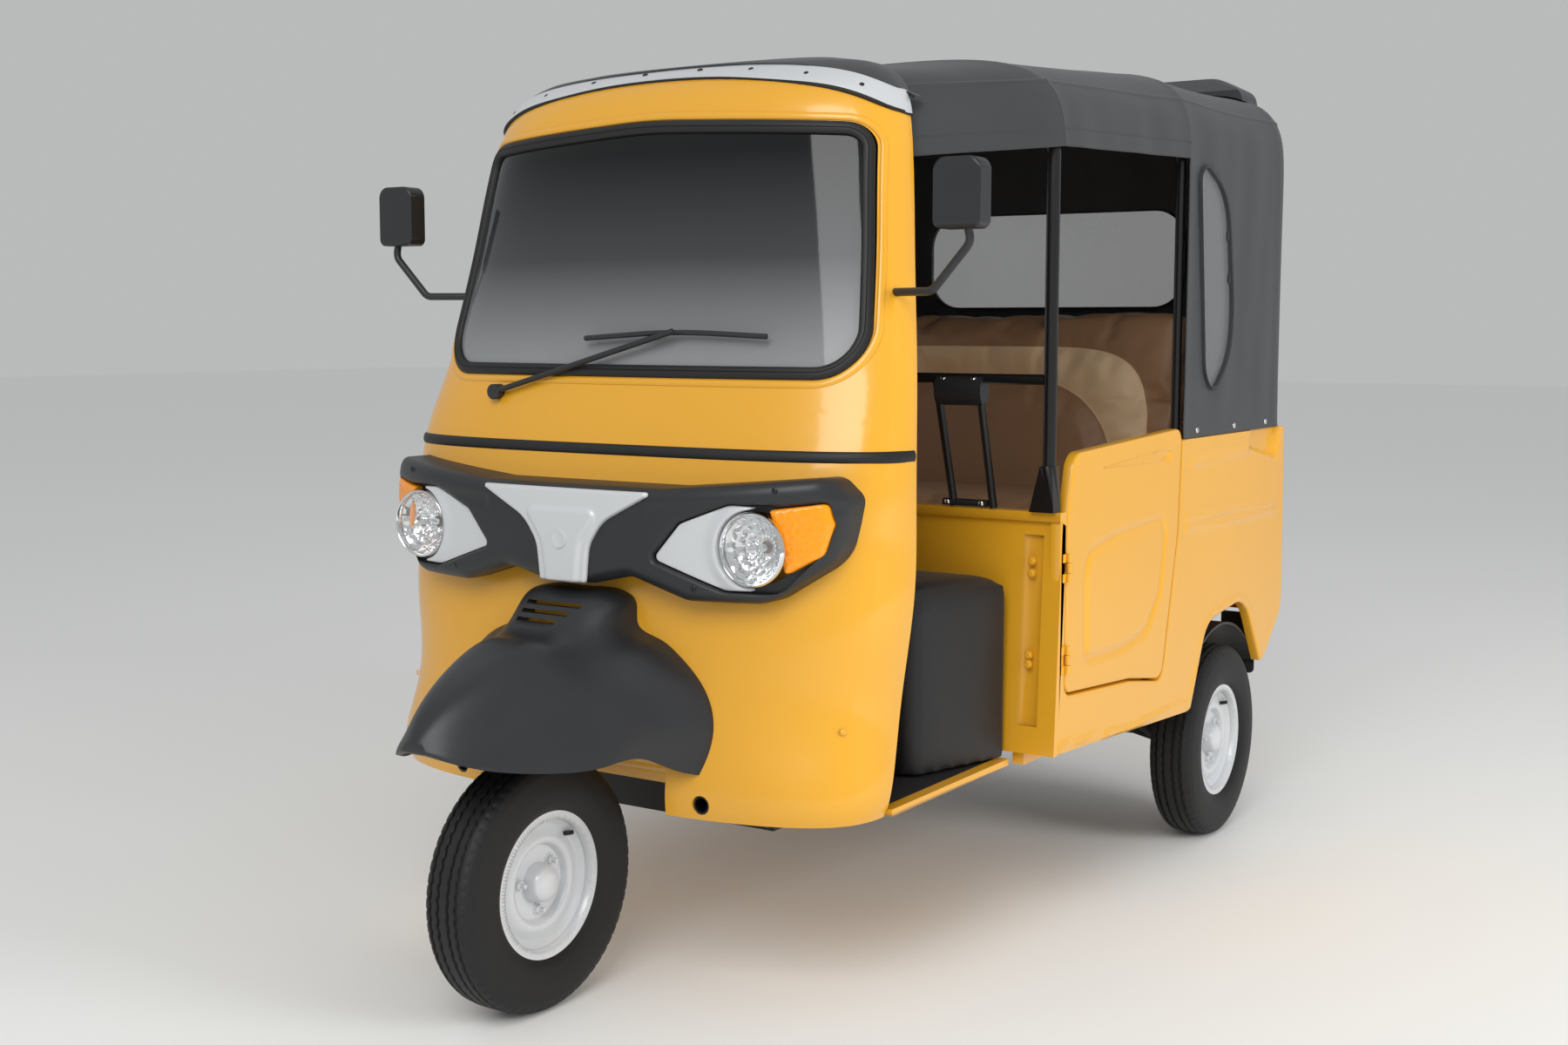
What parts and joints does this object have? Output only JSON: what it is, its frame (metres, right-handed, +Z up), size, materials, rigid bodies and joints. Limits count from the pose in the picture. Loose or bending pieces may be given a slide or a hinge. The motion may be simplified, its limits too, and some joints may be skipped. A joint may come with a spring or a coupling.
{
  "type": "auto rickshaw",
  "caption": "Auto rickshaw on three wheels: steel cab with steered front wheel, passenger bench under a vinyl canopy, side door, rear engine.",
  "frame": {"origin": "on the ground, midway along and across the vehicle", "axes": "+X to the vehicle's left, -Y to its nose, +Z up"},
  "size_m": [1.512, 2.7019, 1.985],
  "materials": {
    "yellow_paint": "gloss golden yellow paint on pressed steel",
    "screen_glass": "laminated windscreen glass",
    "black_rubber": "black moulded rubber",
    "strip_aluminium": "anodised aluminium strip",
    "charcoal_plastic": "satin charcoal moulded plastic",
    "silver_paint": "satin silver paint on moulded plastic",
    "amber_plastic": "clear amber moulded lens",
    "lamp_glass": "clear lamp lens",
    "lamp_chrome": "vacuum-coated reflector",
    "black_enamel": "black enamel on steel",
    "black_vinyl": "black vinyl seat cover",
    "red_plastic": "red moulded lens",
    "floor_paint": "yellow painted floor sheet",
    "brown_vinyl": "brown and tan vinyl seat cover",
    "canopy_vinyl": "dark grey coated fabric",
    "window_film": "clear flexible window film",
    "cast_grey": "cast and machined grey metal",
    "tyre_rubber": "black tyre rubber",
    "wheel_silver": "silver painted pressed steel"
  },
  "bodies": {
    "root": {"body_side_left": "yellow_paint", "body_side_right": "yellow_paint", "bulkhead": "yellow_paint", "cab_floor": "yellow_paint", "cab_front_shell": "yellow_paint", "cab_seals": "black_rubber", "canopy": "canopy_vinyl", "canopy_windows": "window_film", "chassis": "black_enamel", "drive_shafts": "cast_grey", "driver_seat": "black_vinyl", "engine": "cast_grey", "floor_mat": "black_rubber", "front_mudguard": "charcoal_plastic", "grab_rail": "black_enamel", "headlamp_lenses": "lamp_glass", "headlamp_reflectors": "lamp_chrome", "hinges": "yellow_paint", "instrument_panel": "charcoal_plastic", "lamp_bezel": "charcoal_plastic", "mirrors": "charcoal_plastic", "passenger_floor": "floor_paint", "rear_arms": "black_enamel", "rear_bumper": "black_enamel", "rear_dampers": "black_enamel", "rear_wall": "yellow_paint", "roof_bows": "black_enamel", "roof_rails": "black_enamel", "roof_spoiler": "charcoal_plastic", "roof_strip": "strip_aluminium", "seat_back": "brown_vinyl", "seat_base": "yellow_paint", "seat_cushion": "brown_vinyl", "silver_inserts": "silver_paint", "tail_lamps": "red_plastic", "tow_tubes": "black_enamel", "turn_indicators": "amber_plastic", "wheel_liners": "charcoal_plastic", "wheel_well": "yellow_paint", "windscreen": "screen_glass", "wiper": "charcoal_plastic"},
    "front_wheel": {"front_tyre": "tyre_rubber", "front_rim": "wheel_silver"},
    "rear_wheel_left": {"rear_left_tyre": "tyre_rubber", "rear_left_rim": "wheel_silver"},
    "rear_wheel_right": {"rear_right_tyre": "tyre_rubber", "rear_right_rim": "wheel_silver"},
    "steering": {"steering_stem": "black_enamel", "front_link": "black_enamel", "front_damper": "black_enamel", "handlebar": "black_enamel"},
    "door_left": {"door_leaf": "yellow_paint"},
    "lid": {"engine_lid": "yellow_paint"}
  },
  "joints": [
    {"name": "steer", "type": "hinge", "parent": "root", "child": "steering", "pos_m": [0, -1.04, 0.248], "axis": [0, 0.4543, 0.8908], "range_deg": [-38, 38]},
    {"name": "front_roll", "type": "hinge", "parent": "steering", "child": "front_wheel", "pos_m": [0, -1.04, 0.248], "axis": [1, 0, 0], "continuous": true},
    {"name": "rear_roll_left", "type": "hinge", "parent": "root", "child": "rear_wheel_left", "pos_m": [0.633, 0.88, 0.248], "axis": [1, 0, 0], "continuous": true},
    {"name": "rear_roll_right", "type": "hinge", "parent": "root", "child": "rear_wheel_right", "pos_m": [-0.633, 0.88, 0.248], "axis": [1, 0, 0], "continuous": true},
    {"name": "door_swing", "type": "hinge", "parent": "root", "child": "door_left", "pos_m": [0.706, -0.1385, 0.713], "axis": [0, 0, -1], "range_deg": [0, 80]},
    {"name": "lid_lift", "type": "hinge", "parent": "root", "child": "lid", "pos_m": [0, 1.27001, 0.9625], "axis": [1, 0, 0], "range_deg": [0, 70]}
  ]
}
